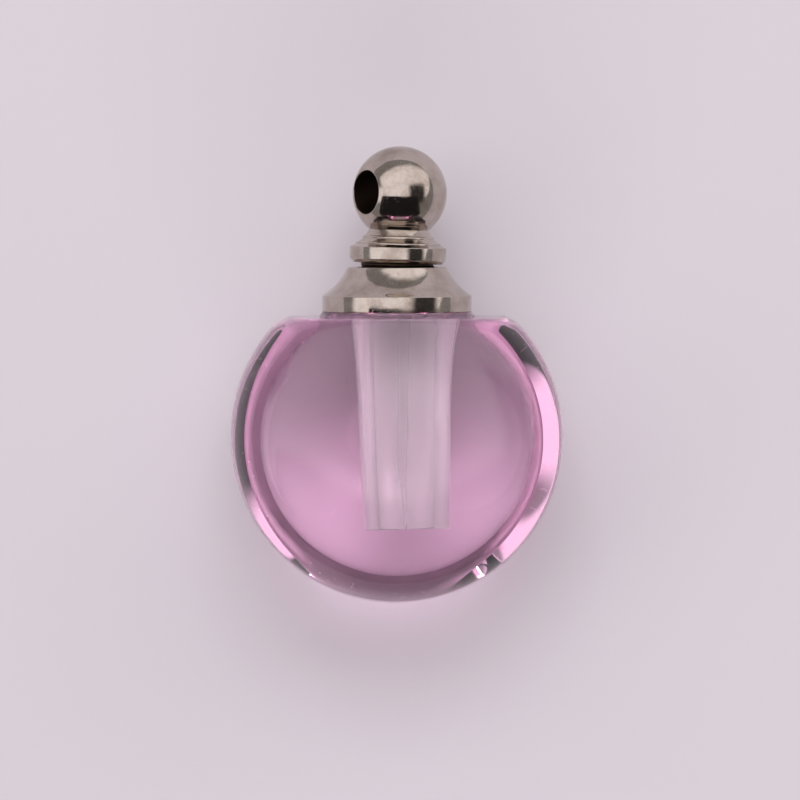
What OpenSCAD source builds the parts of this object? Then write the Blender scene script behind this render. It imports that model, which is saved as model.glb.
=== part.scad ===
// Bottle pendant: a thick round pebble of pink glass with a flat front and a domed back,
// a drilled vial hollow, a turned collar glued on its top and a threaded ball cap with a hole
// for a cord. It lies on a small flat ground on its back. The bottle's axis runs along +Y,
// and the front faces +Z.

/* [Glass body] */
// Diameter of the round body, seen from the front
body_d = 20; // [19:0.5:24]
// Height of the front face above the body's widest plane
front_h = 7.3; // [7:0.1:9]
// How flat the front face is: 2 is a dome, more is flatter with a tighter edge
front_flatness = 5; // [4:0.1:8]
// How upright the sides below the front face are: 2 is a dome, more is more upright
front_uprightness = 2.9; // [2:0.1:4]
// Depth of the back dome behind the widest plane, before the rest flat is ground
back_h = 5.9; // [5.4:0.1:7]
// How flat the back dome is in its middle
back_flatness = 2; // [1.9:0.1:3]
// How upright the back dome stands where it meets the sides
back_uprightness = 1.4; // [1.3:0.05:2]
// Depth ground off the back dome for the flat that the pendant rests on
rest_cut = 0.4; // [0.3:0.05:0.8]
// How far the collar's and the cap's axis lies in front of the widest plane
axis_forward = 0.6; // [0:0.05:1]
// Height of the flat top above the middle of the body
top_h = 7.1; // [6:0.1:7.2]
// Rounding of the shoulder at both ends of the flat top
shoulder_r = 0.8; // [0.4:0.1:1.2]

/* [Vial hollow] */
// Diameter of the hollow at its mouth
mouth_d = 5.5; // [5:0.1:5.8]
// Diameter of the hollow at its flat end
end_d = 4.8; // [3:0.1:5]
// Depth of the hollow below the flat top
hollow_depth = 12.4; // [6:0.1:14]
// How late the hollow narrows: 1 is a plain cone, more stays wide for longer
hollow_taper = 4; // [1:0.5:5]
// Sideways offset of the hollow's mouth from the collar's axis
mouth_shift = 0.35; // [0:0.05:0.4]
// Lean of the drilled hollow, in degrees
hollow_lean = 1; // [0:0.25:2]

/* [Adhesive bead] */
// Height of the bead between the glass and the collar
bead_t = 0.35; // [0.2:0.05:0.6]
// How far the bead squeezes out past the flange at its foot
bead_spread = 0.35; // [0.1:0.05:0.45]
// How far the bead's inner edge stays back from the hollow's mouth
bead_setback = 0.1; // [0.05:0.05:0.3]

/* [Collar] */
// Diameter of the flange
flange_d = 9; // [8.6:0.1:9.6]
// Thickness of the flange
flange_t = 0.96; // [0.6:0.02:1.4]
// Height of the hollow flare above the flange
flare_h = 1.72; // [1.4:0.02:2]
// Radius of the flare's hollow curve
flare_r = 4.3; // [3:0.1:8]
// Diameter of the collar's top rim
rim_d = 5.94; // [5.6:0.02:6.6]

/* [Screw cap] */
// Diameter of the cap's disc
disc_d = 5.8; // [5.4:0.1:6.6]
// Thickness of the disc
disc_t = 0.95; // [0.6:0.05:1.4]
// Chamfer on the disc's lower edge
disc_chamfer = 0.22; // [0.1:0.02:0.3]
// Gap between the collar's rim and the disc, on the bottle's axis
cap_gap = 0.24; // [0.18:0.02:0.4]
// Lean of the cap in its thread, in degrees
cap_lean = 1.9; // [0:0.1:2]
// Diameter of the neck under the ball
neck_d = 3.6; // [3:0.1:4]
// Height of the neck's narrowest place above the disc
neck_h = 1.05; // [0.8:0.05:1.4]
// Radius of the hollow curve from the disc to the neck
neck_curve_r = 2.2; // [1.2:0.1:4]
// Thickness of the fine rings turned round the neck
neck_ring_d = 0.2; // [0.12:0.02:0.3]
// Diameter of the ball
cap_ball_d = 5.66; // [5:0.02:6.4]
// Height of the blunt turning pip on top of the ball
pip_h = 0.08; // [0.04:0.01:0.2]
// Diameter of the pip's foot
pip_d = 2; // [1:0.1:2.4]

/* [Cord hole] */
// Diameter of the hole through the ball
cord_d = 2.6; // [1.6:0.1:2.8]
// Turn of the hole out of the plane of the body's rim, in degrees
cord_turn = 35; // [0:5:90]

/* [Thread] */
// Diameter over the thread's crests
thread_d = 4.76; // [4:0.02:4.8]
// Depth of the thread
thread_depth = 0.24; // [0.12:0.02:0.3]
// Pitch of the thread
thread_pitch = 0.5; // [0.4:0.05:0.5]
// Turns of thread on the stud
thread_turns = 5; // [3:1:5]
// Radial clearance of the thread in the collar
thread_clear = 0.08; // [0.06:0.01:0.1]

/* [Hidden] */

// Facets of the turned and ground surfaces
$fn = 144;
// Steps round a softened edge
EDGE_STEPS = 5;
// Steps along the outline of a rounded face, from its middle to the widest plane
FACE_STEPS = 16;
// Steps along the hollow's wall, from its mouth to its end
WALL_STEPS = 12;
// How far a cutter runs past the surface that it cuts
OVERRUN = 1;
// How far the soft shoulder stands out past the rim's circle where it runs into it
EDGE_CROSS = 0.02;
// Places of the turned rings, as shares of the way up the neck's curve
NECK_RINGS = [0.3, 0.65];

body_r = body_d / 2;
widest_z = back_h - rest_cut;
axis_z = widest_z + axis_forward;
flange_h = top_h + bead_t;
collar_h = flange_t + flare_h;
disc_h = flange_h + collar_h + cap_gap;
collar_bore_r = thread_d / 2 + thread_clear;
stud_l = thread_turns * thread_pitch;
cap_ball_r = cap_ball_d / 2;
neck_level = disc_t + neck_h;
// The ball starts where its own width falls to the neck's
cap_ball_level = neck_level + sqrt(pow(cap_ball_r, 2) - pow(neck_d / 2, 2));

// Centre of the circle of radius r through a and b, on the right of the way from a to b
function arc_centre(a, b, r) =
    let (half = (b - a) / 2)
    a + half + [half[1], -half[0]] * sqrt(pow(r / norm(half), 2) - 1);

// Points on an arc of radius r about centre, from one angle to another in equal steps
function arc_points(centre, r, from, to, steps) = [
    for (i = [0 : steps])
        let (angle = from + (to - from) * i / steps)
        centre + r * [cos(angle), sin(angle)]
];

// Point on a rounded face of the body, as radius and height, at an angle above the widest plane
function face_point(angle, height, flatness, uprightness) = [
    body_r * pow(cos(angle), 2 / flatness),
    height * pow(sin(angle), 2 / uprightness)
];

// Distance of a rounded face from the widest plane, at a given radius
function face_height(radius, height, flatness, uprightness) =
    height * pow(1 - pow(radius / body_r, flatness), 1 / uprightness);

// Radius of the hollow at a depth below the flat top
function hollow_r(depth) =
    (mouth_d - (mouth_d - end_d) * pow(depth / hollow_depth, hollow_taper)) / 2;

// Stands what is built along Z on the bottle's axis, with its foot at height h
module on_axis(h) {
    translate([0, h, axis_z]) rotate([-90, 0, 0]) children();
}

// Half outline of the front and the back, round the axis through them, cut off at the rest flat
module pebble_outline() {
    intersection() {
        polygon(concat(
            [
                for (i = [FACE_STEPS : -1 : 0])
                    face_point(90 * i / FACE_STEPS, front_h, front_flatness, front_uprightness)
            ],
            [
                for (i = [1 : FACE_STEPS])
                    let (point = face_point(90 * i / FACE_STEPS, back_h, back_flatness, back_uprightness))
                    [point[0], -point[1]]
            ]
        ));
        translate([0, -widest_z]) square([body_r, widest_z + front_h]);
    }
}

// Half outline of everything under the flat top and its shoulder, turned in the widest plane
module below_top_outline() {
    reach = body_r + OVERRUN;
    level = top_h - shoulder_r;
    centre = [sqrt(pow(body_r - shoulder_r, 2) - pow(level, 2)), level];
    last = atan2(centre[1], centre[0]);
    polygon(concat(
        [[0, top_h]],
        arc_points(centre + [EDGE_CROSS, 0], shoulder_r, 90, last, EDGE_STEPS),
        [reach * [1, tan(last)], [reach, -reach], [0, -reach]]
    ));
}

// Blind hollow that narrows towards its end, in the widest plane, a little off the axis
// and leaning
module vial_hollow() {
    translate([mouth_shift, top_h, widest_z])
        rotate([-90, 0, hollow_lean])
            rotate_extrude()
                polygon(concat(
                    [[0, OVERRUN], [mouth_d / 2, OVERRUN]],
                    [
                        for (i = [0 : WALL_STEPS])
                            let (depth = hollow_depth * i / WALL_STEPS)
                            [hollow_r(depth), -depth]
                    ],
                    [[0, -hollow_depth]]
                ));
}

module glass_body() {
    color("plum")
        difference() {
            intersection() {
                translate([0, 0, widest_z]) rotate_extrude() pebble_outline();
                translate([0, 0, widest_z]) rotate([-90, 0, 0]) rotate_extrude() below_top_outline();
            }
            vial_hollow();
        }
}

// Layer of clear glue that holds the collar on the glass, open round the hollow's mouth and
// wiped flush with the flat top's back edge
module adhesive_bead() {
    outer = flange_d / 2;
    foot = outer + bead_spread;
    back_edge = widest_z - face_height(top_h, back_h, back_flatness, back_uprightness);
    color("thistle")
        difference() {
            intersection() {
                on_axis(top_h) cylinder(h = bead_t, r1 = foot, r2 = outer);
                translate([-foot, top_h, back_edge]) cube([2 * foot, bead_t, 2 * foot]);
            }
            translate([mouth_shift, top_h - OVERRUN, widest_z])
                rotate([-90, 0, 0]) cylinder(h = bead_t + 2 * OVERRUN, r = mouth_d / 2 + bead_setback);
        }
}

module collar() {
    foot = [flange_d / 2, flange_t];
    rim = [rim_d / 2, collar_h];
    color("silver")
        on_axis(flange_h)
            rotate_extrude()
                difference() {
                    translate([collar_bore_r, 0]) square([foot[0] - collar_bore_r, collar_h]);
                    translate(arc_centre(foot, rim, flare_r)) circle(r = flare_r);
                }
}

// Half outline of the threaded stud, its thread drawn as rings, below the disc
module stud_outline() {
    crest = thread_d / 2;
    root = crest - thread_depth;
    polygon(concat(
        [[0, -stud_l]],
        [
            for (turn = [0 : thread_turns - 1])
                for (point = [[root, turn], [crest, turn + 0.5]])
                    [point[0], point[1] * thread_pitch - stud_l]
        ],
        [[root, 0], [root, disc_t], [0, disc_t]]
    ));
}

// Half outline of the disc and of the hollow curve that rises from it to the neck
module disc_outline() {
    foot = [disc_d / 2, disc_t];
    neck = [neck_d / 2, neck_level];
    centre = arc_centre(foot, neck, neck_curve_r);
    start = atan2(foot[1] - centre[1], foot[0] - centre[0]);
    finish = atan2(neck[1] - centre[1], neck[0] - centre[0]);
    polygon([[0, 0], [foot[0] - disc_chamfer, 0], [foot[0], disc_chamfer], foot, [0, disc_t]]);
    difference() {
        translate([0, disc_t]) square([foot[0], neck_h]);
        translate(centre) circle(r = neck_curve_r);
    }
    for (share = NECK_RINGS) {
        angle = start + (finish - start) * share;
        translate(centre + neck_curve_r * [cos(angle), sin(angle)]) circle(d = neck_ring_d, $fn = 24);
    }
}

// Half outline of the ball and its pip
module ball_outline() {
    pip_foot = sqrt(pow(cap_ball_r, 2) - pow(pip_d / 2, 2)) - pip_h;
    pip_top = cap_ball_r + pip_h;
    translate([0, cap_ball_level]) {
        intersection() {
            circle(r = cap_ball_r);
            translate([0, -cap_ball_r]) square([cap_ball_r, 2 * cap_ball_r]);
        }
        polygon([[0, pip_foot], [pip_d / 2, pip_foot], [pip_d / 8, pip_top], [0, pip_top]]);
    }
}

// Stud, disc, neck and ball, turned from one bar, leaning about the middle of the stud
module screw_cap() {
    color("gainsboro")
        on_axis(disc_h - stud_l / 2)
            rotate([0, cap_lean, 0])
                translate([0, 0, stud_l / 2])
                    difference() {
                        rotate_extrude() {
                            stud_outline();
                            disc_outline();
                            ball_outline();
                        }
                        translate([0, 0, cap_ball_level])
                            rotate([0, 90, cord_turn])
                                cylinder(h = cap_ball_d + OVERRUN, d = cord_d, center = true);
                    }
}

glass_body();
adhesive_bead();
collar();
screw_cap();
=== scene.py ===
"""Bottle pendant: glass body, glue skirt, nickel-plated collar and screw cap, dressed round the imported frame.

Every length is in metres. The pendant lies on its back, its axis runs along +Y and its flat front faces +Z.
"""

from __future__ import annotations

import logging
import math
from collections.abc import Callable, Mapping, Sequence
from dataclasses import dataclass
from enum import Enum

import bmesh
import bpy
import numpy as np
from mathutils import Matrix, Vector

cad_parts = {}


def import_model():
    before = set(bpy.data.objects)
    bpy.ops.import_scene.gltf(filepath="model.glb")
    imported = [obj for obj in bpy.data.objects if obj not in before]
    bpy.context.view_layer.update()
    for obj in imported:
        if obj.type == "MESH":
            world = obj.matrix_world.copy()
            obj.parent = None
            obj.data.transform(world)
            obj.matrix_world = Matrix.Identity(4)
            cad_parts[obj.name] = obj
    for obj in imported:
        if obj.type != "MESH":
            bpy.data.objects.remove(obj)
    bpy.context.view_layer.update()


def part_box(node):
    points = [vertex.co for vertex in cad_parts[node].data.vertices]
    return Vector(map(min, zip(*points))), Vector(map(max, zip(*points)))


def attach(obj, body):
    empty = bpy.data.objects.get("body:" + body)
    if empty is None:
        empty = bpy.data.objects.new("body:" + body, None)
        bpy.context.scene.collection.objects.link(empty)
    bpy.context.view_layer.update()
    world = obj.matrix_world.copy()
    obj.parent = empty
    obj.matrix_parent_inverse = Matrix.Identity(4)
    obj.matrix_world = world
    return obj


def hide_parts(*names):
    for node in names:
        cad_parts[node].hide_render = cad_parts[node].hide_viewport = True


LOG = logging.getLogger("bottle_pendant")
MM = 0.001
# Vertices nearer to each other than this are one
WELD = 1e-7

Profile = list[tuple[float, float]]
Tree = bpy.types.NodeTree
Socket = bpy.types.NodeSocket


class Slot(Enum):
    """The record's material slots."""

    GLASS = "pink_glass"
    GLUE = "clear_adhesive"
    METAL = "nickel_plate"


class Body(Enum):
    """The record's bodies."""

    VIAL = "vial"
    CAP = "cap"


def to_linear(hex_colour: str) -> tuple[float, float, float, float]:
    """Turns an sRGB hex colour into linear light.

    Args:
        hex_colour: Colour as "#rrggbb".

    Returns:
        Red, green, blue and an alpha of 1, in linear light.
    """
    parts = [int(hex_colour[i : i + 2], 16) / 255 for i in (1, 3, 5)]
    linear = [p / 12.92 if p <= 0.04045 else ((p + 0.055) / 1.055) ** 2.4 for p in parts]
    return (linear[0], linear[1], linear[2], 1.0)


def add_node(
    tree: Tree, kind: str, inputs: Mapping[str | int, object] | None = None, **settings: object
) -> bpy.types.Node:
    """Adds a node with its settings, socket values and links.

    Args:
        tree: Node tree that takes the node.
        kind: Blender's name of the node type.
        inputs: Socket names or numbers, each with a value or with the output socket to link.
        **settings: Properties of the node itself.

    Returns:
        The new node.
    """
    node = tree.nodes.new(kind)
    for name, value in settings.items():
        setattr(node, name, value)
    for name, value in (inputs or {}).items():
        if isinstance(value, Socket):
            tree.links.new(value, node.inputs[name])
        else:
            node.inputs[name].default_value = value
    return node


def new_material(name: str) -> tuple[bpy.types.Material, Tree, bpy.types.Node]:
    """Makes an empty node material.

    Args:
        name: The real material's name.

    Returns:
        The material, its node tree and its output node.
    """
    material = bpy.data.materials.new(name)
    material.use_nodes = True
    tree = material.node_tree
    tree.nodes.clear()
    return material, tree, add_node(tree, "ShaderNodeOutputMaterial")


def grid_faces(rows: int, columns: int) -> list[tuple[int, ...]]:
    """Lists the quads of a grid of vertices numbered row by row, whose last column joins the first.

    Args:
        rows: Number of rows.
        columns: Number of vertices in a row.

    Returns:
        The quads as vertex numbers.
    """
    faces = []
    for row in range(rows - 1):
        lower, upper = row * columns, (row + 1) * columns
        for here in range(columns):
            ahead = (here + 1) % columns
            faces.append((lower + here, lower + ahead, upper + ahead, upper + here))
    return faces


def mesh_object(
    name: str, vertices: np.ndarray, faces: Sequence[tuple[int, ...]], sharp_deg: float
) -> bpy.types.Object:
    """Makes a smooth-shaded object from a closed mesh, with hard edges where it bends sharply.

    Args:
        name: Name of the piece.
        vertices: One row of x, y, z for each vertex.
        faces: Vertex numbers of each face.
        sharp_deg: Bend above which an edge is shaded hard, in degrees.

    Returns:
        The new object.
    """
    mesh = bpy.data.meshes.new(name)
    mesh.from_pydata([tuple(v) for v in vertices], [], list(faces))
    work = bmesh.new()
    work.from_mesh(mesh)
    bmesh.ops.remove_doubles(work, verts=work.verts, dist=WELD)
    bmesh.ops.recalc_face_normals(work, faces=work.faces)
    work.to_mesh(mesh)
    work.free()
    mesh.shade_smooth()
    mesh.set_sharp_from_angle(angle=math.radians(sharp_deg))
    piece = bpy.data.objects.new(name, mesh)
    bpy.context.scene.collection.objects.link(piece)
    return piece


def arc(centre: tuple[float, float], radius: float, start_deg: float, end_deg: float, steps: int) -> Profile:
    """Points on an arc, both ends included.

    Args:
        centre: Centre of the arc.
        radius: Its radius.
        start_deg: Angle of the first point.
        end_deg: Angle of the last point.
        steps: Number of steps between them.

    Returns:
        The points in order.
    """
    angles = np.radians(np.linspace(start_deg, end_deg, steps + 1))
    return [(centre[0] + radius * math.cos(a), centre[1] + radius * math.sin(a)) for a in angles]


def arc_through(foot: tuple[float, float], top: tuple[float, float], radius: float, steps: int) -> Profile:
    """Points on the hollow arc from foot to top whose centre lies outside, on the right of the way up.

    Args:
        foot: First point.
        top: Last point.
        radius: Radius of the arc.
        steps: Number of steps between them.

    Returns:
        The points from foot to top.
    """
    half = ((top[0] - foot[0]) / 2, (top[1] - foot[1]) / 2)
    out = math.sqrt(radius * radius / (half[0] ** 2 + half[1] ** 2) - 1)
    centre = (foot[0] + half[0] + half[1] * out, foot[1] + half[1] - half[0] * out)
    start = math.degrees(math.atan2(foot[1] - centre[1], foot[0] - centre[0]))
    end = math.degrees(math.atan2(top[1] - centre[1], top[0] - centre[0]))
    if end - start > 180:
        end -= 360
    if start - end > 180:
        end += 360
    return arc(centre, radius, start, end, steps)


def softened(points: Sequence[tuple[float, float, float]], steps: int = 5) -> Profile:
    """Rounds the corners of an open outline.

    Args:
        points: Corner points as x, y and the radius of the rounding there.
        steps: Steps in each rounding.

    Returns:
        The outline with an arc in place of each rounded corner.
    """
    outline: Profile = []
    for i, (x, y, radius) in enumerate(points):
        if radius <= 0 or i in (0, len(points) - 1):
            outline.append((x, y))
            continue
        here = np.array((x, y))
        before = np.array(points[i - 1][:2]) - here
        after = np.array(points[i + 1][:2]) - here
        before /= np.linalg.norm(before)
        after /= np.linalg.norm(after)
        half = math.acos(float(np.clip(before @ after, -1, 1))) / 2
        bisector = (before + after) / np.linalg.norm(before + after)
        centre = here + bisector * radius / math.sin(half)
        first = here + before * radius / math.tan(half) - centre
        last = here + after * radius / math.tan(half) - centre
        start = math.atan2(first[1], first[0])
        turn = (math.atan2(last[1], last[0]) - start + math.pi) % (2 * math.pi) - math.pi
        outline += arc(tuple(centre), radius, math.degrees(start), math.degrees(start + turn), steps)
    return outline


def turned_on_axis(foot: Vector, lean_deg: float) -> Matrix:
    """Frame of a turned part that stands on the bottle's axis.

    Args:
        foot: Where the part's own zero height lies.
        lean_deg: Lean to the right of the bottle's axis.

    Returns:
        The matrix from the part's own frame, turned about Z, to the pendant's.
    """
    upright = Matrix.Rotation(math.radians(-90), 4, "X")
    return Matrix.Translation(foot) @ Matrix.Rotation(math.radians(-lean_deg), 4, "Z") @ upright


def lathe(
    profile: Profile,
    segments: int,
    place: Matrix,
    closed: bool,
    shape: Callable[[np.ndarray, np.ndarray, np.ndarray], np.ndarray] | None = None,
) -> tuple[np.ndarray, list[tuple[int, ...]]]:
    """Turns a profile round the Z axis of its own frame.

    Args:
        profile: Points as radius and height. An open profile starts and ends on the axis.
        segments: Steps round the axis.
        place: Matrix from the part's own frame to the pendant's.
        closed: Whether the last point joins the first.
        shape: Optional change of the radius, from turn angle, radius and height.

    Returns:
        Vertices and faces.
    """
    turn = np.linspace(0, 2 * math.pi, segments, endpoint=False)
    radius = np.array([p[0] for p in profile])[:, None] * np.ones_like(turn)[None, :]
    height = np.array([p[1] for p in profile])[:, None] * np.ones_like(turn)[None, :]
    angle = np.ones((len(profile), 1)) * turn[None, :]
    if shape is not None:
        radius = shape(angle, radius, height)
    local = np.stack([radius * np.cos(angle), radius * np.sin(angle), height], -1).reshape(-1, 3)
    faces = grid_faces(len(profile), segments)
    if closed:
        last = (len(profile) - 1) * segments
        faces += [(last + j, last + (j + 1) % segments, (j + 1) % segments, j) for j in range(segments)]
    world = np.array(place)
    return local @ world[:3, :3].T + world[:3, 3], faces


def weld_poles(
    name: str, vertices: np.ndarray, faces: Sequence[tuple[int, ...]], sharp_deg: float
) -> bpy.types.Object:
    """Makes an object from a turned mesh and closes its two poles.

    Args:
        name: Name of the piece.
        vertices: Vertices of the turned mesh, whose first and last rings lie on the axis.
        faces: Its faces.
        sharp_deg: Bend above which an edge is shaded hard, in degrees.

    Returns:
        The new object.
    """
    piece = mesh_object(name, vertices, faces, sharp_deg)
    work = bmesh.new()
    work.from_mesh(piece.data)
    bmesh.ops.dissolve_degenerate(work, dist=WELD, edges=work.edges)
    bmesh.ops.recalc_face_normals(work, faces=work.faces)
    work.to_mesh(piece.data)
    work.free()
    piece.data.set_sharp_from_angle(angle=math.radians(sharp_deg))
    return piece


@dataclass(frozen=True)
class PinkCrystal:
    """Pink-tinted lead crystal, ground and polished outside and left as drilled inside.

    It is clear, so the eye sees the table through it, and the tint deepens with the length of the way through the
    glass. The drilled wall scatters a little light, so the hollow looks milky, with streaks along the drill's way.
    The rim has fine rubbed marks, drawn about three times as wide as real ones so that they show.
    """

    mouth: Vector
    wall_radius: float
    wall_end: float
    name: str = "pink_crystal_glass"
    ior: float = 1.548
    tint: str = "#f870d6"
    density: float = 30.0
    wall_roughness: float = 0.36
    haze: float = 0.45
    streak_width: float = 1.3 * MM
    streak_length: float = 32.5 * MM
    least_haze: float = 0.66
    rub_radius: float = 8.2 * MM
    rub_fade: float = 0.8 * MM
    rub_roughness: float = 0.3
    rub_size: tuple[float, float, float] = (0.1 * MM, 0.5 * MM, 0.2 * MM)
    rub_levels: tuple[float, float] = (0.66, 0.72)

    def distance(self, tree: Tree, place: Socket, kept: tuple[int, int, int]) -> Socket:
        """Measures how far a place lies from the middle of the hollow's mouth.

        Args:
            tree: The material's node tree.
            place: Output with the place in the pendant's frame.
            kept: 1 for each direction that counts and 0 for the others.

        Returns:
            An output with the distance in metres.
        """
        away = add_node(tree, "ShaderNodeVectorMath", {0: place, 1: tuple(self.mouth)}, operation="SUBTRACT")
        flat = add_node(tree, "ShaderNodeVectorMath", {0: away.outputs[0], 1: kept}, operation="MULTIPLY")
        return add_node(tree, "ShaderNodeVectorMath", {0: flat.outputs[0]}, operation="LENGTH").outputs["Value"]

    def wall_mask(self, tree: Tree, place: Socket) -> Socket:
        """Marks the drilled wall, as a cylinder round the hollow.

        Args:
            tree: The material's node tree.
            place: Output with the place in the pendant's frame.

        Returns:
            An output that is 1 on the wall and its end, and 0 outside.
        """
        away = self.distance(tree, place, (1, 0, 1))
        near = add_node(tree, "ShaderNodeMath", {0: away, 1: self.wall_radius}, operation="LESS_THAN").outputs[0]
        level = add_node(tree, "ShaderNodeSeparateXYZ", {0: place}).outputs[1]
        inside = add_node(tree, "ShaderNodeMath", {0: level, 1: self.wall_end}, operation="GREATER_THAN").outputs[0]
        return add_node(tree, "ShaderNodeMath", {0: near, 1: inside}, operation="MULTIPLY").outputs[0]

    def streaks(self, tree: Tree, place: Socket) -> Socket:
        """Draws the streaks that the drill left along the hollow.

        Args:
            tree: The material's node tree.
            place: Output with the place in the pendant's frame.

        Returns:
            An output that runs from the least haze to 1.
        """
        across, along = 1 / self.streak_width, 1 / self.streak_length
        stretched = add_node(tree, "ShaderNodeVectorMath", {0: place, 1: (across, along, across)}, operation="MULTIPLY")
        noise = add_node(tree, "ShaderNodeTexNoise", {"Vector": stretched.outputs[0], "Scale": 1.0, "Detail": 1.5})
        return add_node(
            tree,
            "ShaderNodeMapRange",
            {"Value": noise.outputs[0], "From Min": 0.3, "From Max": 0.7, "To Min": self.least_haze},
        ).outputs[0]

    def rubs(self, tree: Tree, place: Socket) -> Socket:
        """Draws fine rubbed marks where the rim has been handled.

        Args:
            tree: The material's node tree.
            place: Output with the place in the pendant's frame.

        Returns:
            An output with the roughness of the marks, 0 between them.
        """
        away = self.distance(tree, place, (1, 1, 0))
        fade = {"Value": away, "From Min": self.rub_radius, "From Max": self.rub_radius + self.rub_fade}
        rim = add_node(tree, "ShaderNodeMapRange", fade).outputs[0]
        fine = tuple(1 / size for size in self.rub_size)
        stretched = add_node(tree, "ShaderNodeVectorMath", {0: place, 1: fine}, operation="MULTIPLY")
        marks = add_node(
            tree, "ShaderNodeTexNoise", {"Vector": stretched.outputs[0], "Scale": 1.0, "Detail": 2.0, "Distortion": 0.6}
        )
        start, full = self.rub_levels
        lines = add_node(
            tree,
            "ShaderNodeMapRange",
            {"Value": marks.outputs[0], "From Min": start, "From Max": full, "To Max": self.rub_roughness},
        )
        return add_node(tree, "ShaderNodeMath", {0: rim, 1: lines.outputs[0]}, operation="MULTIPLY").outputs[0]

    def material(self) -> bpy.types.Material:
        """Builds the material.

        Returns:
            The crystal, clear outside, hazy on the drilled wall and tinted all through.
        """
        material, tree, output = new_material(self.name)
        place = add_node(tree, "ShaderNodeTexCoord").outputs["Object"]
        wall, streaks, rubs = self.wall_mask(tree, place), self.streaks(tree, place), self.rubs(tree, place)
        hazy = add_node(tree, "ShaderNodeMath", {0: wall, 1: streaks}, operation="MULTIPLY").outputs[0]
        rough = add_node(tree, "ShaderNodeMath", {0: hazy, 1: self.wall_roughness, 2: rubs}, operation="MULTIPLY_ADD")
        let_through = add_node(tree, "ShaderNodeMath", {0: hazy, 1: -self.haze, 2: 1.0}, operation="MULTIPLY_ADD")
        clear = add_node(
            tree,
            "ShaderNodeBsdfPrincipled",
            {
                "Base Color": (1, 1, 1, 1),
                "Roughness": rough.outputs[0],
                "IOR": self.ior,
                "Transmission Weight": let_through.outputs[0],
            },
        )
        tint = add_node(tree, "ShaderNodeVolumeAbsorption", {"Color": to_linear(self.tint), "Density": self.density})
        tree.links.new(clear.outputs[0], output.inputs["Surface"])
        tree.links.new(tint.outputs[0], output.inputs["Volume"])
        return material


@dataclass(frozen=True)
class ClearGlue:
    """Clear two-part adhesive, squeezed out and set with a wavy skin, so that it glints along the metal's foot."""

    name: str = "clear_adhesive"
    colour: str = "#f7e6f3"
    roughness: float = 0.12
    ior: float = 1.5
    waves_per_mm: float = 1.2
    wave_depth: float = 0.05 * MM
    wave_strength: float = 0.4

    def material(self) -> bpy.types.Material:
        """Builds the material.

        Returns:
            The glue, see-through, with its waves as bump.
        """
        material, tree, output = new_material(self.name)
        place = add_node(tree, "ShaderNodeTexCoord").outputs["Object"]
        waves = add_node(tree, "ShaderNodeTexNoise", {"Vector": place, "Scale": self.waves_per_mm / MM, "Detail": 3.0})
        bump = add_node(
            tree,
            "ShaderNodeBump",
            {"Strength": self.wave_strength, "Distance": self.wave_depth, "Height": waves.outputs[0]},
        )
        shader = add_node(
            tree,
            "ShaderNodeBsdfPrincipled",
            {
                "Base Color": to_linear(self.colour),
                "Roughness": self.roughness,
                "IOR": self.ior,
                "Transmission Weight": 1.0,
                "Normal": bump.outputs[0],
            },
        )
        tree.links.new(shader.outputs[0], output.inputs["Surface"])
        return material


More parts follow.
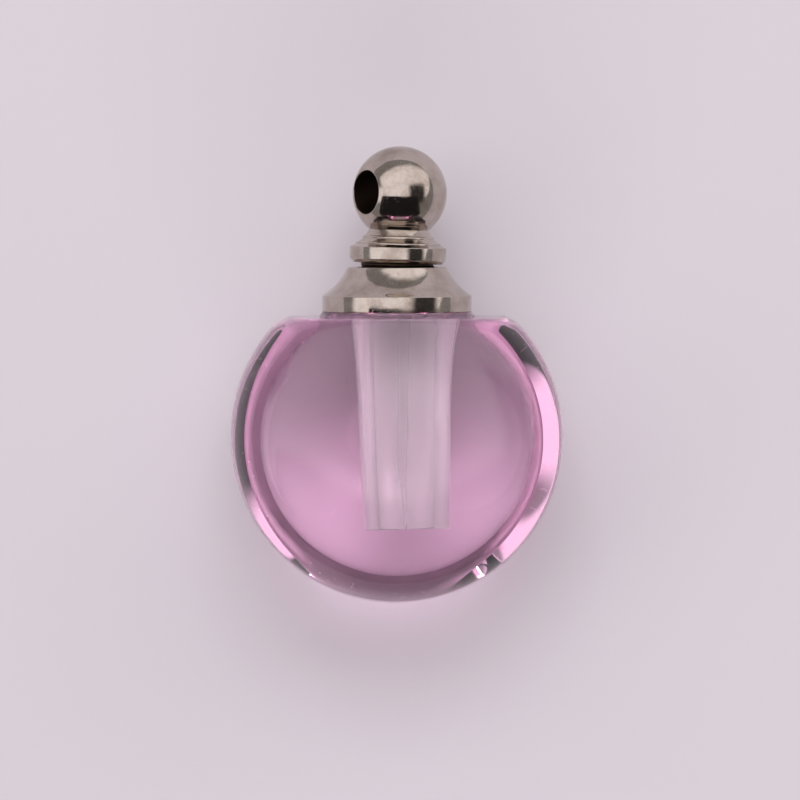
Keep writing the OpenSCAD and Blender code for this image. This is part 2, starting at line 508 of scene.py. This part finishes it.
@dataclass(frozen=True)
class NickelPlate:
    """Bright nickel plate over turned brass.

    The eye sees a warm grey mirror, a little wavy from polishing, with cloudy patches, fine pits and thin turning
    marks. The thread and the cord hole are drawn dull and dark: painted shade for these recesses.
    """

    name: str = "nickel_plate"
    colour: str = "#bdb3aa"
    cloudy_colour: str = "#a3968b"
    # Painted shade: the dark colour given to the thread and the cord hole, recesses that light hardly reaches
    recess_shade_colour: str = "#4d4038"
    cloud_width: float = 1.3 * MM
    cloud_levels: tuple[float, float] = (0.42, 0.68)
    bright_roughness: float = 0.05
    cloudy_roughness: float = 0.15
    recess_roughness: float = 0.35
    wave_width: float = 0.9 * MM
    wave_depth: float = 0.03 * MM
    wave_strength: float = 0.5
    lines_per_mm: float = 14.0
    lines_per_mm_round: float = 0.05
    line_depth: float = 0.004 * MM
    line_strength: float = 0.22
    pit_width: float = 0.12 * MM
    pit_depth: float = 0.006 * MM
    pit_strength: float = 0.5
    pit_levels: tuple[float, float] = (0.05, 0.22)

    def relief(self, tree: Tree, place: Socket) -> Socket:
        """Draws the waves, the turning marks and the pits as bump.

        Args:
            tree: The material's node tree.
            place: Output with the place in the pendant's frame.

        Returns:
            An output with the surface's direction.
        """
        waves = add_node(tree, "ShaderNodeTexNoise", {"Vector": place, "Scale": 1 / self.wave_width, "Detail": 1.0})
        along, round_axis = self.lines_per_mm / MM, self.lines_per_mm_round / MM
        turned = add_node(
            tree, "ShaderNodeVectorMath", {0: place, 1: (round_axis, along, round_axis)}, operation="MULTIPLY"
        )
        lines = add_node(tree, "ShaderNodeTexNoise", {"Vector": turned.outputs[0], "Scale": 1.0, "Detail": 1.0})
        cells = add_node(tree, "ShaderNodeTexVoronoi", {"Vector": place, "Scale": 1 / self.pit_width})
        low, high = self.pit_levels
        pits = add_node(tree, "ShaderNodeMapRange", {"Value": cells.outputs[0], "From Min": low, "From Max": high})
        rows = (
            (waves, self.wave_depth, self.wave_strength),
            (lines, self.line_depth, self.line_strength),
            (pits, self.pit_depth, self.pit_strength),
        )
        normal: Socket | None = None
        for pattern, depth, strength in rows:
            height = {"Strength": strength, "Distance": depth, "Height": pattern.outputs[0]}
            bump = add_node(tree, "ShaderNodeBump", height)
            if normal is not None:
                tree.links.new(normal, bump.inputs["Normal"])
            normal = bump.outputs[0]
        return normal

    def material(self) -> bpy.types.Material:
        """Builds the material.

        Returns:
            The plate, with painted shade on the thread and in the cord hole, where a point attribute marks them.
        """
        material, tree, output = new_material(self.name)
        place = add_node(tree, "ShaderNodeTexCoord").outputs["Object"]
        clouds = add_node(
            tree,
            "ShaderNodeTexNoise",
            {"Vector": place, "Scale": 1 / self.cloud_width, "Detail": 5.0, "Roughness": 0.62},
        )
        low, high = self.cloud_levels
        levels = {"Value": clouds.outputs[0], "From Min": low, "From Max": high}
        dull = add_node(tree, "ShaderNodeMapRange", levels).outputs[0]
        shades = {0: dull, 6: to_linear(self.colour), 7: to_linear(self.cloudy_colour)}
        plate = add_node(tree, "ShaderNodeMix", shades, data_type="RGBA").outputs[2]
        # Painted shade: the thread and the cord hole are darkened and dulled to stand in for the shade in these
        # recesses
        recess_shade = add_node(tree, "ShaderNodeAttribute", attribute_name="recess_shade").outputs["Fac"]
        shaded_plate = {0: recess_shade, 6: plate, 7: to_linear(self.recess_shade_colour)}
        colour = add_node(tree, "ShaderNodeMix", shaded_plate, data_type="RGBA").outputs[2]
        range_of = {"Value": dull, "To Min": self.bright_roughness, "To Max": self.cloudy_roughness}
        gloss = add_node(tree, "ShaderNodeMapRange", range_of).outputs[0]
        recess_rough_inputs = {0: recess_shade, 1: self.recess_roughness, 2: gloss}
        rough = add_node(tree, "ShaderNodeMath", recess_rough_inputs, operation="MULTIPLY_ADD").outputs[0]
        shader = add_node(
            tree,
            "ShaderNodeBsdfPrincipled",
            {"Base Color": colour, "Metallic": 1.0, "Roughness": rough, "Normal": self.relief(tree, place)},
        )
        tree.links.new(shader.outputs[0], output.inputs["Surface"])
        return material


@dataclass(frozen=True)
class TableTop:
    """Smooth off-white laminate of the table, matt, with a faint lilac cast."""

    name: str = "pale_laminate"
    colour: str = "#ded7de"
    roughness: float = 0.6

    def material(self) -> bpy.types.Material:
        """Builds the material.

        Returns:
            The plain laminate.
        """
        material, tree, output = new_material(self.name)
        plain = {"Base Color": to_linear(self.colour), "Roughness": self.roughness}
        shader = add_node(tree, "ShaderNodeBsdfPrincipled", plain)
        tree.links.new(shader.outputs[0], output.inputs["Surface"])
        return material


def dress(piece: bpy.types.Object, material: bpy.types.Material, slot: Slot, body: Body, *nodes: str) -> None:
    """Gives a piece its material and its body, and hides the nodes that it replaces.

    Args:
        piece: The piece.
        material: Its material.
        slot: The record's slot; not used.
        body: The body that it rides on.
        *nodes: The nodes that it replaces.
    """
    piece.data.materials.clear()
    piece.data.materials.append(material)
    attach(piece, body.value)
    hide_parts(*nodes)
    LOG.info("%s: %d faces, on %s", piece.name, len(piece.data.polygons), body.value)


@dataclass(frozen=True)
class RoundedFace:
    """One side of the pebble, turned about the axis through front and back, with a flat middle and a soft edge."""

    height: float
    flatness: float
    uprightness: float
    fine_steps: int = 1500

    def section(self, radius: float, level: float, steps: int) -> np.ndarray:
        """Cuts the face with a plane across the bottle's axis.

        Args:
            radius: Radius of the pebble at its widest plane.
            level: Height of the plane along the bottle's axis, from the pebble's middle.
            steps: Steps along the cut, all of the same length.

        Returns:
            The cut's points as x and distance from the widest plane, from the right rim to the left.
        """
        turn = np.linspace(0, math.pi, self.fine_steps)
        deep = (abs(level) / radius) ** self.flatness
        reach = radius * (deep + (1 - deep) * np.cos(turn) ** 2) ** (1 / self.flatness)
        across = np.sign(np.cos(turn)) * np.sqrt(np.maximum(reach**2 - level**2, 0))
        out = self.height * ((1 - deep) * np.sin(turn) ** 2) ** (1 / self.uprightness)
        length = np.concatenate([[0], np.cumsum(np.hypot(np.diff(across), np.diff(out)))])
        even = np.linspace(0, length[-1], steps + 1)
        return np.stack([np.interp(even, length, across), np.interp(even, length, out)], -1)


@dataclass
class GlassBody:
    """The thick pebble of glass with its rest flat, its flat top with a soft shoulder and its drilled hollow."""

    low: Vector
    high: Vector
    back: RoundedFace = RoundedFace(5.9 * MM, 2, 1.4)
    rest_cut: float = 0.4 * MM
    front_flatness: float = 5
    front_uprightness: float = 2.9
    shoulder: float = 0.75 * MM
    edge: float = 0.3 * MM
    mouth_radius: float = 2.75 * MM
    end_radius: float = 2.4 * MM
    hollow_depth: float = 12.4 * MM
    hollow_taper: float = 4
    mouth_shift: float = 0.35 * MM
    hollow_lean_deg: float = 1.0
    end_tilt_deg: float = 2.0
    end_edge: float = 0.12 * MM
    end_steps: int = 4
    face_steps: int = 150
    rings_below: int = 150
    first_ring: float = 0.004
    crowding: float = 1.4
    rings_shoulder: int = 14
    rings_wall: int = 40
    rings_mouth: tuple[float, ...] = (0.02, 0.2, 0.5, 0.8, 0.97)
    rings_floor: tuple[float, ...] = (0.99, 0.7, 0.4, 0.1)
    wall_margin: float = 0.3 * MM
    sharp_deg: float = 42.0

    def __post_init__(self) -> None:
        """Works out the pebble's radius, its front and its middle from the frame."""
        self.radius = (self.high.x - self.low.x) / 2
        self.rest = self.back.height - self.rest_cut
        self.middle = Vector(((self.high.x + self.low.x) / 2, self.low.y + self.radius, self.low.z + self.rest))
        front_height = self.high.z - self.middle.z
        self.front = RoundedFace(front_height, self.front_flatness, self.front_uprightness)
        self.top = self.high.y - self.middle.y

    def ring(self, level: float, inset: float) -> np.ndarray:
        """Outline of the glass across the bottle's axis.

        Args:
            level: Height along the axis, from the middle.
            inset: Share of the shoulder's rounding already taken off, from 0 to 1.

        Returns:
            The outline's points, from the middle.
        """
        front = self.front.section(self.radius, level, self.face_steps)
        back = self.back.section(self.radius, level, self.face_steps)[::-1]
        back[:, 1] = -np.minimum(back[:, 1], self.rest)
        loop = np.concatenate([front[:-1], back[:-1]])
        ahead, behind = np.roll(loop, -1, 0), np.roll(loop, 1, 0)
        along = (ahead - behind) / np.linalg.norm(ahead - behind, axis=1, keepdims=True)
        side = np.abs(along[:, 1:])
        softness = self.edge + (self.shoulder - self.edge) * side**2
        loop = loop + inset * softness * np.stack([-along[:, 1], along[:, 0]], -1)
        return np.column_stack([loop[:, 0], np.full(len(loop), level), loop[:, 1]])

    def levels(self) -> list[tuple[float, float]]:
        """Places the rings of the outside, from the bottom to the flat top.

        Returns:
            The height of each ring, with the share of the rounding taken off there.
        """
        start = self.top - self.shoulder
        end = math.acos(-start / self.radius)
        turns = end * np.linspace(self.first_ring, 1, self.rings_below) ** self.crowding
        rows = [(-self.radius * math.cos(turn), 0.0) for turn in turns]
        for turn in np.linspace(0, math.pi / 2, self.rings_shoulder + 1)[1:]:
            rows.append((start + self.shoulder * math.sin(turn), 1 - math.cos(turn)))
        return rows

    def hollow(self, angles: np.ndarray) -> list[np.ndarray]:
        """Rings of the drilled wall from the mouth down to the middle of its flat end.

        Args:
            angles: Turn angle of each vertex of a ring.

        Returns:
            One array of vertices for each ring, from the middle.
        """
        depths = list(np.linspace(0, self.hollow_depth - self.end_edge, self.rings_wall))
        pull = self.mouth_radius - self.end_radius
        rows = [(d, self.mouth_radius - pull * (d / self.hollow_depth) ** self.hollow_taper) for d in depths]
        wall = rows[-1][1]
        rows += [
            (depths[-1] + self.end_edge * math.sin(a), wall - self.end_edge * (1 - math.cos(a)))
            for a in np.linspace(0, math.pi / 2, self.end_steps + 1)[1:]
        ]
        floor = rows[-1]
        rows += [(floor[0], floor[1] * share) for share in self.rings_floor]
        slope = math.tan(math.radians(self.hollow_lean_deg))
        tilt_full = math.tan(math.radians(self.end_tilt_deg))
        rings = []
        for depth, radius in rows:
            x, z = radius * np.cos(angles), radius * np.sin(angles)
            tilt = tilt_full * min(depth / self.hollow_depth, 1)
            rings.append(np.stack([self.mouth_shift + slope * depth + x, self.top - depth + tilt * x, z], -1))
        return rings

    def build(self) -> bpy.types.Object:
        """Builds the glass as one closed mesh.

        Returns:
            The glass.
        """
        outside = [self.ring(level, inset) for level, inset in self.levels()]
        brim = outside[-1]
        angles = np.arctan2(brim[:, 2], brim[:, 0] - self.mouth_shift)
        hollow = self.hollow(angles)
        patch = [brim + (hollow[0] - brim) * share for share in self.rings_mouth]
        rings = [*outside, *patch, *hollow]
        count = len(brim)
        faces = grid_faces(len(rings), count)
        faces.append(tuple(range(count)))
        last = (len(rings) - 1) * count
        faces.append(tuple(range(last, last + count)))
        return mesh_object("glass_bottle", np.concatenate(rings) + np.array(self.middle), faces, self.sharp_deg)

    def dressed(self) -> bpy.types.Object:
        """Builds the glass and gives it its finish.

        Returns:
            The dressed glass.
        """
        mouth = self.middle + Vector((self.mouth_shift, 0, 0))
        wall_reach = self.mouth_radius + self.wall_margin
        wall_end = self.middle.y + self.top - self.hollow_depth - self.end_edge
        piece = self.build()
        crystal = PinkCrystal(mouth, wall_reach, wall_end).material()
        dress(piece, crystal, Slot.GLASS, Body.VIAL, "glass_body")
        return piece


@dataclass
class Collar:
    """The glued ring: flange, hollow flare and rim."""

    low: Vector
    high: Vector
    flange_thickness: float = 0.96 * MM
    flare_radius: float = 4.3 * MM
    rim_radius: float = 2.97 * MM
    bore_radius: float = 2.46 * MM
    edge: float = 0.05 * MM
    flare_steps: int = 24
    segments: int = 192
    sharp_deg: float = 40.0

    def build(self) -> bpy.types.Object:
        """Builds the collar as a turned ring.

        Returns:
            The collar.
        """
        height = self.high.y - self.low.y
        outer = (self.high.x - self.low.x) / 2
        foot, rim = (outer, self.flange_thickness), (self.rim_radius, height)
        flare = arc_through(foot, rim, self.flare_radius, self.flare_steps)
        bore = self.bore_radius
        lower = softened([(bore, 0, 0), (outer, 0, self.edge), (*foot, self.edge * 0.8), (*flare[2], 0)])
        upper = softened([(*flare[-3], 0), (*rim, self.edge), (bore, height, self.edge), (bore, height / 2, 0)])
        profile = lower[:-1] + flare[2:-2] + upper[1:]
        foot_centre = Vector(((self.high.x + self.low.x) / 2, self.low.y, (self.high.z + self.low.z) / 2))
        vertices, faces = lathe(profile, self.segments, turned_on_axis(foot_centre, 0), closed=True)
        return mesh_object("nickel_collar", vertices, faces, self.sharp_deg)

    def dressed(self, metal: bpy.types.Material) -> bpy.types.Object:
        """Builds the collar and gives it its finish.

        Args:
            metal: The plate that the collar and the cap share.

        Returns:
            The dressed collar.
        """
        piece = self.build()
        dress(piece, metal, Slot.METAL, Body.VIAL, "collar")
        return piece


@dataclass
class GlueSkirt:
    """The ring of clear glue between the glass and the flange, squeezed out unevenly and wiped off at the back."""

    low: Vector
    high: Vector
    axis_z: float
    spread: float = 0.35 * MM
    sink: float = 0.02 * MM
    inner_radius: float = 3.55 * MM
    hollow_curve: float = 1.2 * MM
    hollow_steps: int = 10
    unevenness: float = 0.35
    wave_counts: tuple[int, ...] = (5, 9, 14, 23, 37)
    segments: int = 256
    sharp_deg: float = 40.0
    seed: int = 7

    def build(self) -> bpy.types.Object:
        """Builds the skirt with a wavy foot.

        Returns:
            The skirt.
        """
        rng = np.random.default_rng(self.seed)
        height = self.high.y - self.low.y
        foot = (self.high.x - self.low.x) / 2
        neck = foot - self.spread
        waves = [(k, rng.uniform(0, 2 * math.pi), rng.uniform(0.4, 1)) for k in self.wave_counts]

        def uneven(angle: np.ndarray, radius: np.ndarray, level: np.ndarray) -> np.ndarray:
            """Pulls the foot in by an amount that changes round the ring.

            Args:
                angle: Turn angles.
                radius: Radii before the change.
                level: Heights, which don't count.

            Returns:
                The radii after the change.
            """
            wave = sum(a * np.sin(k * angle + p) for k, p, a in waves) / sum(a for _, _, a in waves)
            share = np.clip((radius - neck) / self.spread, 0, 1)
            return radius - share * self.spread * self.unevenness * (1 + wave) / 2

        skirt = arc_through((foot, 0), (neck, height), self.hollow_curve, self.hollow_steps)
        inner, top = self.inner_radius, height + self.sink / 2
        profile = [(inner, -self.sink), (foot, -self.sink), *skirt, (neck, top), (inner, top)]
        centre = Vector(((self.high.x + self.low.x) / 2, self.low.y, self.axis_z))
        vertices, faces = lathe(profile, self.segments, turned_on_axis(centre, 0), closed=True, shape=uneven)
        vertices[:, 2] = np.maximum(vertices[:, 2], self.low.z)
        return mesh_object("glue_skirt", vertices, faces, self.sharp_deg)

    def dressed(self) -> bpy.types.Object:
        """Builds the skirt and gives it its finish.

        Returns:
            The dressed skirt.
        """
        piece = self.build()
        dress(piece, ClearGlue().material(), Slot.GLUE, Body.VIAL, "adhesive_bead")
        return piece


@dataclass
class ScrewCap:
    """Threaded stud, disc, ringed neck and bored ball, turned from one bar."""

    pivot: Vector
    lean_deg: float = 1.9
    stud_length: float = 2.5 * MM
    crest_radius: float = 2.38 * MM
    thread_depth: float = 0.24 * MM
    pitch: float = 0.5 * MM
    disc_radius: float = 2.9 * MM
    disc_thickness: float = 0.95 * MM
    disc_edge: float = 0.05 * MM
    chamfer: float = 0.22 * MM
    chamfer_edge: float = 0.08 * MM
    neck_step: float = 0.02 * MM
    neck_radius: float = 1.8 * MM
    neck_height: float = 1.05 * MM
    neck_curve: float = 2.2 * MM
    neck_steps: int = 60
    neck_in_ball: float = 0.3 * MM
    ring_bead: float = 0.05 * MM
    ring_places: tuple[float, ...] = (0.3, 0.65)
    ring_half_width: float = 0.065
    ring_slant: float = 0.7
    ball_radius: float = 2.83 * MM
    cord_radius: float = 1.3 * MM
    cord_turn_deg: float = 35.0
    rim_edge: float = 0.06 * MM
    segments: int = 192
    sharp_deg: float = 35.0

    def __post_init__(self) -> None:
        """Works out where the disc's lower face and the ball's middle lie."""
        self.place = turned_on_axis(self.pivot, self.lean_deg) @ Matrix.Translation((0, 0, self.stud_length / 2))
        self.neck_level = self.disc_thickness + self.neck_height
        self.ball_level = self.neck_level + math.sqrt(self.ball_radius**2 - self.neck_radius**2)

    def thread(self, angle: np.ndarray, radius: np.ndarray, height: np.ndarray) -> np.ndarray:
        """Cuts the thread into the stud, fading out at both ends.

        Args:
            angle: Turn angles.
            radius: Radii before the cut.
            height: Heights above the disc's lower face.

        Returns:
            The radii after the cut.
        """
        phase = (height / self.pitch - angle / (2 * math.pi)) % 1
        groove = 1 - np.abs(2 * phase - 1)
        runout = 0.6 * self.pitch
        fade = np.clip((height + self.stud_length) / self.pitch, 0, 1) * np.clip(-height / runout, 0, 1)
        on_stud = (radius > self.crest_radius * 0.99) & (height < 0) & (height > -self.stud_length)
        # A short flat on each crest and a shorter one in each root
        flank = np.clip(1.25 * groove - 0.05, 0, 1)
        cut = self.thread_depth * (1 - fade * flank)
        return np.where(on_stud, radius - cut, radius)

    def stem(self) -> bpy.types.Object:
        """Builds the stud, the disc and the neck.

        Returns:
            The stem, closed on the axis.
        """
        first_turn, thread_step = 0.02 * MM, 0.025 * MM
        heights = np.arange(-self.stud_length + first_turn, 0, thread_step)
        root, rim = self.crest_radius - self.thread_depth, self.disc_radius
        stud: Profile = [(0, -self.stud_length), (root, -self.stud_length)]
        stud += [(self.crest_radius, float(h)) for h in heights]
        foot, neck = (rim - self.neck_step, self.disc_thickness), (self.neck_radius, self.neck_level)
        curve = arc_through(foot, neck, self.neck_curve, self.neck_steps)
        marks = []
        for i, (r, h) in enumerate(curve):
            away = [(i / (len(curve) - 1) - place) / self.ring_half_width for place in self.ring_places]
            out = sum(math.sqrt(max(1 - a**2, 0)) for a in away) * self.ring_bead * self.ring_slant
            marks.append((r + out, h + out))
        disc = softened(
            [
                (root, 0, 0),
                (rim - self.chamfer, 0, self.disc_edge),
                (rim, self.chamfer, self.chamfer_edge),
                (rim, self.disc_thickness, self.disc_edge),
                (*marks[3], 0),
            ]
        )
        in_ball = self.neck_level + self.neck_in_ball
        profile = [*stud, *disc[:-1], *marks[3:], (self.neck_radius * 0.9, in_ball), (0, in_ball)]
        vertices, faces = lathe(profile, self.segments, self.place, closed=False, shape=self.thread)
        return weld_poles("nickel_cap", vertices, faces, self.sharp_deg)

    def ball(self) -> bpy.types.Object:
        """Builds the ball, turned round the axis of its cord hole.

        Returns:
            The ball, on its own.
        """
        edge = self.rim_edge
        reach, side = self.ball_radius - edge, self.cord_radius + edge
        rise = math.sqrt(reach**2 - side**2)
        end = math.degrees(math.atan2(rise, side))
        edge_steps, ball_steps, wall_rings = 6, 120, 12
        upper = arc((side, rise), edge, 180, end, edge_steps)
        outside = arc((0, 0), self.ball_radius, end, -end, ball_steps)[1:-1]
        lower = [(r, -h) for r, h in reversed(upper)]
        wall = [(self.cord_radius, float(h)) for h in np.linspace(-rise, rise, wall_rings)[1:-1]]
        profile = upper + outside + lower + wall
        across = Matrix.Rotation(math.radians(self.cord_turn_deg), 4, "Z") @ Matrix.Rotation(math.radians(90), 4, "Y")
        place = self.place @ Matrix.Translation((0, 0, self.ball_level)) @ across
        vertices, faces = lathe(profile, self.segments, place, closed=True)
        return mesh_object("cap_ball", vertices, faces, self.sharp_deg)

    def build(self) -> bpy.types.Object:
        """Joins the stem and the ball into one solid.

        Returns:
            The whole cap.
        """
        stem, ball = self.stem(), self.ball()
        union = stem.modifiers.new("one_bar", "BOOLEAN")
        union.operation = "UNION"
        union.solver = "EXACT"
        union.object = ball
        bpy.context.view_layer.update()
        whole = bpy.data.meshes.new_from_object(stem.evaluated_get(bpy.context.evaluated_depsgraph_get()))
        stem.modifiers.clear()
        stem.data = whole
        bpy.data.objects.remove(ball)
        whole.shade_smooth()
        whole.set_sharp_from_angle(angle=math.radians(self.sharp_deg))
        self.paint_recess_shade(whole)
        return stem

    def paint_recess_shade(self, mesh: bpy.types.Mesh) -> None:
        """Marks the thread and the wall of the cord hole for painted shade.

        Args:
            mesh: The cap's mesh.
        """
        spots = np.zeros(len(mesh.vertices) * 3)
        mesh.vertices.foreach_get("co", spots)
        turned = np.array(self.place.inverted())
        local = spots.reshape(-1, 3) @ turned[:3, :3].T + turned[:3, 3]
        turn = math.radians(self.cord_turn_deg)
        across = np.array((math.cos(turn), math.sin(turn), 0))
        from_middle = local - np.array((0, 0, self.ball_level))
        off_axis = np.linalg.norm(from_middle - np.outer(from_middle @ across, across), axis=1)
        in_hole = off_axis < self.cord_radius + 0.1 * self.rim_edge
        in_hole &= np.abs(from_middle[:, 2]) < self.cord_radius * 1.1
        on_thread = local[:, 2] < 0.01 * MM
        # Painted shade: 1 on the thread and in the cord hole, which the plate darkens for the shade there
        recess_shade = np.where(on_thread | in_hole, 1.0, 0.0)
        mesh.attributes.new("recess_shade", "FLOAT", "POINT").data.foreach_set("value", recess_shade)

    def dressed(self, metal: bpy.types.Material) -> bpy.types.Object:
        """Builds the cap and gives it its finish.

        Args:
            metal: The plate that the collar and the cap share.

        Returns:
            The dressed cap.
        """
        piece = self.build()
        dress(piece, metal, Slot.METAL, Body.CAP, "screw_cap")
        return piece


@dataclass(frozen=True)
class SoftPatch:
    """A soft-edged bright or dark rectangle of the room, seen in one direction."""

    towards: tuple[float, float, float]
    half_width: float
    half_height: float
    softness: float
    glow: float


class LampWay(Enum):
    """Which way a lamp's light reaches the table."""

    BOTH = "both"
    PAST_GLASS = "past_glass"
    THROUGH_GLASS = "through_glass"


@dataclass(frozen=True)
class SoftLamp:
    """A rectangular lamp in one direction, kept out of mirror reflections.

    It lights the table past the glass alone, through the glass alone, or both ways.
    """

    name: str
    towards: tuple[float, float, float]
    width: float
    height: float
    glow: float
    way: LampWay
    distance: float = 0.6

    def hang(self, focus: Vector, glass: bpy.types.Object) -> None:
        """Hangs the lamp and turns it to the pendant.

        Args:
            focus: The pendant's middle.
            glass: The glass, which takes the light of a lamp that shines through it alone.
        """
        data = bpy.data.lights.new(self.name, "AREA")
        data.shape, data.size, data.size_y = "RECTANGLE", self.width, self.height
        data.energy = self.glow * math.pi * self.width * self.height
        lamp = bpy.data.objects.new(self.name, data)
        towards = Vector(self.towards).normalized()
        lamp.location = focus + towards * self.distance
        lamp.rotation_euler = towards.to_track_quat("Z", "Y").to_euler()
        lamp.visible_glossy = False
        lamp.visible_transmission = self.way is not LampWay.PAST_GLASS
        if self.way is LampWay.THROUGH_GLASS:
            lit = bpy.data.collections.new(self.name + "_lights")
            lit.objects.link(glass)
            lamp.light_linking.receiver_collection = lit
        bpy.context.scene.collection.objects.link(lamp)


@dataclass(frozen=True)
class Studio:
    """Pale table, a room with soft light from beyond the cap and a dark side towards the viewer, and the camera."""

    focus: Vector
    glass: bpy.types.Object
    camera_distance: float = 220 * MM
    camera_shift: float = 14 * MM
    lens_mm: float = 164.3
    look_right: float = 0.19 * MM
    look_up: float = 2.1 * MM
    sensor_mm: float = 36.0
    table_reach: float = 3.0
    table_drop: float = 0.01 * MM
    light_colour: str = "#fdf8fa"
    room_glow: float = 0.33
    patches: tuple[SoftPatch, ...] = (
        SoftPatch((0.3, 0.62, 1.0), 1.7, 0.85, 0.35, 1.3),
        SoftPatch((0.95, 0.0, 1.0), 0.35, 0.38, 0.25, 0.06),
        SoftPatch((-1.0, -0.05, 0.75), 0.3, 0.28, 0.2, 1.3),
        SoftPatch((0.0, -0.62, 0.78), 1.05, 0.6, 0.1, 0.02),
    )
    lamps: tuple[SoftLamp, ...] = (
        SoftLamp("key_lamp", (0.0, 0.6, 0.8), 0.36, 0.24, 4.0, LampWay.BOTH),
        SoftLamp("fill_lamp", (0.0, -0.92, 0.39), 0.5, 0.16, 4.5, LampWay.PAST_GLASS),
        SoftLamp("glass_lamp", (0.0, 0.74, 0.67), 0.4, 0.26, 9.5, LampWay.THROUGH_GLASS),
    )

    def floor(self) -> None:
        """Lays the table top."""
        mesh = bpy.data.meshes.new("table_top")
        size = self.table_reach
        mesh.from_pydata([(-size, -size, 0), (size, -size, 0), (size, size, 0), (-size, size, 0)], [], [(0, 1, 2, 3)])
        floor = bpy.data.objects.new("table_top", mesh)
        floor.location.z = -self.table_drop
        bpy.context.scene.collection.objects.link(floor)
        mesh.materials.append(TableTop().material())

    def patch_mask(self, tree: Tree, direction: Socket, patch: SoftPatch) -> Socket:
        """Draws one patch of the room as a mask.

        Args:
            tree: The world's node tree.
            direction: Output that gives the direction looked in.
            patch: The patch.

        Returns:
            An output that is 1 inside the patch and 0 outside it.
        """
        ahead = Vector(patch.towards).normalized()
        right = Vector((0, 1, 0)).cross(ahead).normalized()
        above = ahead.cross(right)
        parts = []
        for axis in (ahead, right, above):
            seen = {0: direction, 1: tuple(axis)}
            parts.append(add_node(tree, "ShaderNodeVectorMath", seen, operation="DOT_PRODUCT").outputs["Value"])
        least_depth = 0.001
        depth = add_node(tree, "ShaderNodeMath", {0: parts[0], 1: least_depth}, operation="MAXIMUM").outputs[0]
        sides = []
        for part, half in ((parts[1], patch.half_width), (parts[2], patch.half_height)):
            share = add_node(tree, "ShaderNodeMath", {0: part, 1: depth}, operation="DIVIDE").outputs[0]
            away = add_node(tree, "ShaderNodeMath", {0: share}, operation="ABSOLUTE").outputs[0]
            fade = {
                "Value": away,
                "From Min": half - patch.softness / 2,
                "From Max": half + patch.softness / 2,
                "To Min": 1.0,
                "To Max": 0.0,
            }
            sides.append(add_node(tree, "ShaderNodeMapRange", fade, interpolation_type="SMOOTHSTEP").outputs[0])
        return add_node(tree, "ShaderNodeMath", {0: sides[0], 1: sides[1]}, operation="MULTIPLY").outputs[0]

    def room(self) -> None:
        """Sets the room's light, as bright and dark patches round the pendant."""
        world = bpy.data.worlds.new("room")
        bpy.context.scene.world = world
        world.use_nodes = True
        tree = world.node_tree
        tree.nodes.clear()
        output = add_node(tree, "ShaderNodeOutputWorld")
        direction = add_node(tree, "ShaderNodeTexCoord").outputs["Generated"]
        glow: Socket | float = self.room_glow
        for patch in self.patches:
            mask = self.patch_mask(tree, direction, patch)
            glow = add_node(tree, "ShaderNodeMix", {"Factor": mask, "A": glow, "B": patch.glow}).outputs[0]
        light = add_node(tree, "ShaderNodeBackground", {"Color": to_linear(self.light_colour), "Strength": glow})
        tree.links.new(light.outputs[0], output.inputs["Surface"])

    def camera(self) -> None:
        """Sets the camera over the table, a little towards the cap."""
        data = bpy.data.cameras.new("view")
        data.sensor_width = self.sensor_mm
        data.lens = self.lens_mm
        camera = bpy.data.objects.new("view", data)
        target = self.focus + Vector((self.look_right, self.look_up, 0))
        camera.location = self.focus + Vector((self.look_right, self.camera_shift, self.camera_distance))
        back = (camera.location - target).normalized()
        right = Vector((1, 0, 0))
        camera.rotation_euler = Matrix((right, back.cross(right), back)).transposed().to_euler()
        data.clip_start, data.clip_end = 0.005, 20
        bpy.context.scene.collection.objects.link(camera)
        bpy.context.scene.camera = camera

    def build(self) -> None:
        """Sets up the table, the room, the lamps and the camera."""
        self.floor()
        self.room()
        for lamp in self.lamps:
            lamp.hang(self.focus, self.glass)
        self.camera()
        bpy.context.scene.view_settings.view_transform = "Standard"


def main() -> None:
    """Builds the pendant round the frame, piece by piece."""
    logging.basicConfig(level=logging.INFO, format="%(message)s")
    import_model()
    glass_low, glass_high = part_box("glass_body")
    bead_low, bead_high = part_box("adhesive_bead")
    collar_low, collar_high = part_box("collar")
    axis_z = (collar_low[2] + collar_high[2]) / 2

    glass = GlassBody(Vector(glass_low), Vector(glass_high))
    bottle = glass.dressed()
    GlueSkirt(Vector(bead_low), Vector(bead_high), axis_z).dressed()
    metal = NickelPlate().material()
    Collar(Vector(collar_low), Vector(collar_high)).dressed(metal)
    cap_gap = 0.24 * MM
    pivot = Vector((glass.middle.x, collar_high[1] + cap_gap - ScrewCap.stud_length / 2, axis_z))
    ScrewCap(pivot).dressed(metal)
    Studio(glass.middle, bottle).build()


if __name__ == "__main__":
    main()
